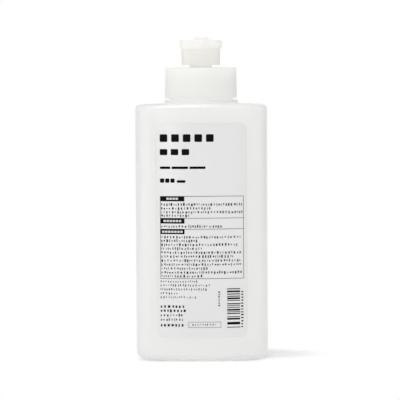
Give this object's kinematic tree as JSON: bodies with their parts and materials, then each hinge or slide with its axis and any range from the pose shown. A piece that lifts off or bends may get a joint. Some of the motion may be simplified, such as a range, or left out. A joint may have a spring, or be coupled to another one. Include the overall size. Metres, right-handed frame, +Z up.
{
  "type": "dish soap bottle",
  "caption": "Milky squeeze bottle for dish soap with a bowed front, rounded corners, a screw cap, a push-pull nozzle that slides up to open, and a film label on the front.",
  "frame": {"origin": "middle of the foot, on the floor", "axes": "+Z up along the neck, the labelled front faces -Y, +X to the right seen from the front"},
  "size_m": [0.063, 0.0431, 0.153],
  "materials": {
    "bottle": "satin, milky polyethylene",
    "screw_cap": "satin, milky polypropylene",
    "pull_nozzle": "satin, milky polyethylene",
    "front_label": null
  },
  "bodies": {
    "bottle_body": {"bottle": "bottle", "front_label": "front_label"},
    "cap_body": {"screw_cap": "screw_cap"},
    "nozzle_body": {"pull_nozzle": "pull_nozzle"}
  },
  "joints": [
    {"name": "cap_turn", "type": "hinge", "parent": "bottle_body", "child": "cap_body", "pos_m": [0, 0, 0.13], "axis": [0, 0, 1], "range_deg": [0, 450]},
    {"name": "nozzle_pull", "type": "slide", "parent": "cap_body", "child": "nozzle_body", "axis": [0, 0, 1], "range_m": [0, 0.004]}
  ]
}
